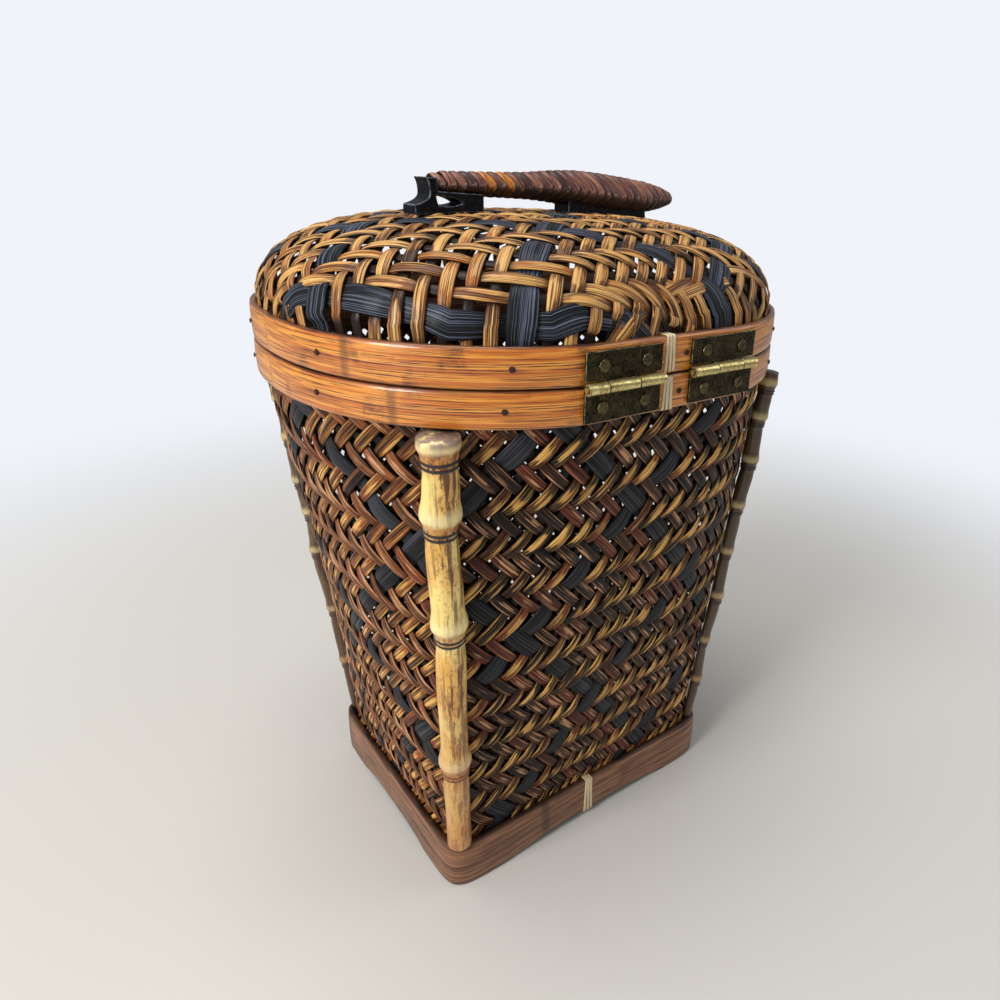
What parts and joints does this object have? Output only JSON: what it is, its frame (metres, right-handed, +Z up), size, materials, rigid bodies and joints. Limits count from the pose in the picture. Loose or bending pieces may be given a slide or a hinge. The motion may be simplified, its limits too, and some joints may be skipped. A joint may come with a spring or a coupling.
{
  "type": "lidded woven basket",
  "caption": "Square-footed woven basket with a domed hinged lid, bamboo hoops, corner canes, a hasp and a wrapped carrying handle.",
  "frame": {"origin": "on the surface the basket stands on, at the middle of its footprint with the hinges and the staple", "axes": "+Z up; +Y towards the hinges, -Y towards the hasp; X along the wider side of the foot"},
  "size_m": [0.2818, 0.2602, 0.3855],
  "materials": {
    "hoop_bamboo": "varnished split bamboo, satin gloss",
    "foot_bamboo": "dark stained split bamboo, dull",
    "weave": "varnished split strips, brown with black-dyed bands",
    "root_cane": "varnished bamboo root cane, mottled",
    "cane_tie": "split cane, natural",
    "aged_brass": "dull aged brass",
    "bright_brass": "worn bright brass",
    "iron": "dark rusted nail steel",
    "black_wood": "black lacquered carved wood",
    "grip_cane": "dark red-brown split cane, varnished"
  },
  "bodies": {
    "body": {"body_hoop_inner": "hoop_bamboo", "body_hoop_nail_1": "iron", "body_hoop_nail_2": "iron", "body_hoop_nail_3": "iron", "body_hoop_nail_4": "iron", "body_hoop_nail_5": "iron", "body_hoop_nail_6": "iron", "body_hoop_nail_7": "iron", "body_hoop_nail_8": "iron", "body_hoop_nail_9": "iron", "body_hoop_outer": "hoop_bamboo", "body_hoop_tie": "cane_tie", "corner_post_front_left": "root_cane", "corner_post_front_right": "root_cane", "corner_post_rear_left": "root_cane", "corner_post_rear_right": "root_cane", "foot_hoop": "foot_bamboo", "foot_tie": "cane_tie", "hasp_pin": "bright_brass", "hasp_plate": "aged_brass", "hasp_plate_screw_1": "aged_brass", "hasp_plate_screw_2": "aged_brass", "hinge_left_lower_leaf": "aged_brass", "hinge_left_pin": "bright_brass", "hinge_lower_screw_1": "aged_brass", "hinge_lower_screw_2": "aged_brass", "hinge_lower_screw_3": "aged_brass", "hinge_lower_screw_4": "aged_brass", "hinge_right_lower_leaf": "aged_brass", "hinge_right_pin": "bright_brass", "woven_body": "weave"},
    "lid": {"handle_backing_slat": "hoop_bamboo", "handle_bracket": "black_wood", "handle_screw_1": "iron", "handle_screw_2": "iron", "handle_wrap": "grip_cane", "hinge_left_upper_leaf": "aged_brass", "hinge_right_upper_leaf": "aged_brass", "hinge_upper_screw_1": "aged_brass", "hinge_upper_screw_2": "aged_brass", "hinge_upper_screw_3": "aged_brass", "hinge_upper_screw_4": "aged_brass", "lid_hoop_inner": "hoop_bamboo", "lid_hoop_nail_1": "iron", "lid_hoop_nail_2": "iron", "lid_hoop_nail_3": "iron", "lid_hoop_nail_4": "iron", "lid_hoop_nail_5": "iron", "lid_hoop_nail_6": "iron", "lid_hoop_nail_7": "iron", "lid_hoop_nail_8": "iron", "lid_hoop_nail_9": "iron", "lid_hoop_outer": "hoop_bamboo", "lid_hoop_tie": "cane_tie", "staple_plate": "aged_brass", "staple_plate_screw_1": "aged_brass", "staple_plate_screw_2": "aged_brass", "woven_lid": "weave"},
    "hasp": {"hasp_leaf": "aged_brass"}
  },
  "joints": [
    {"name": "lid_hinge", "type": "hinge", "parent": "body", "child": "lid", "pos_m": [0, 0.12735, 0.3003], "axis": [-1, 0, 0], "range_deg": [0, 175]},
    {"name": "hasp_swing", "type": "hinge", "parent": "body", "child": "hasp", "pos_m": [0, -0.12305, 0.2874], "axis": [-1, 0, 0], "range_deg": [0, 180]}
  ]
}
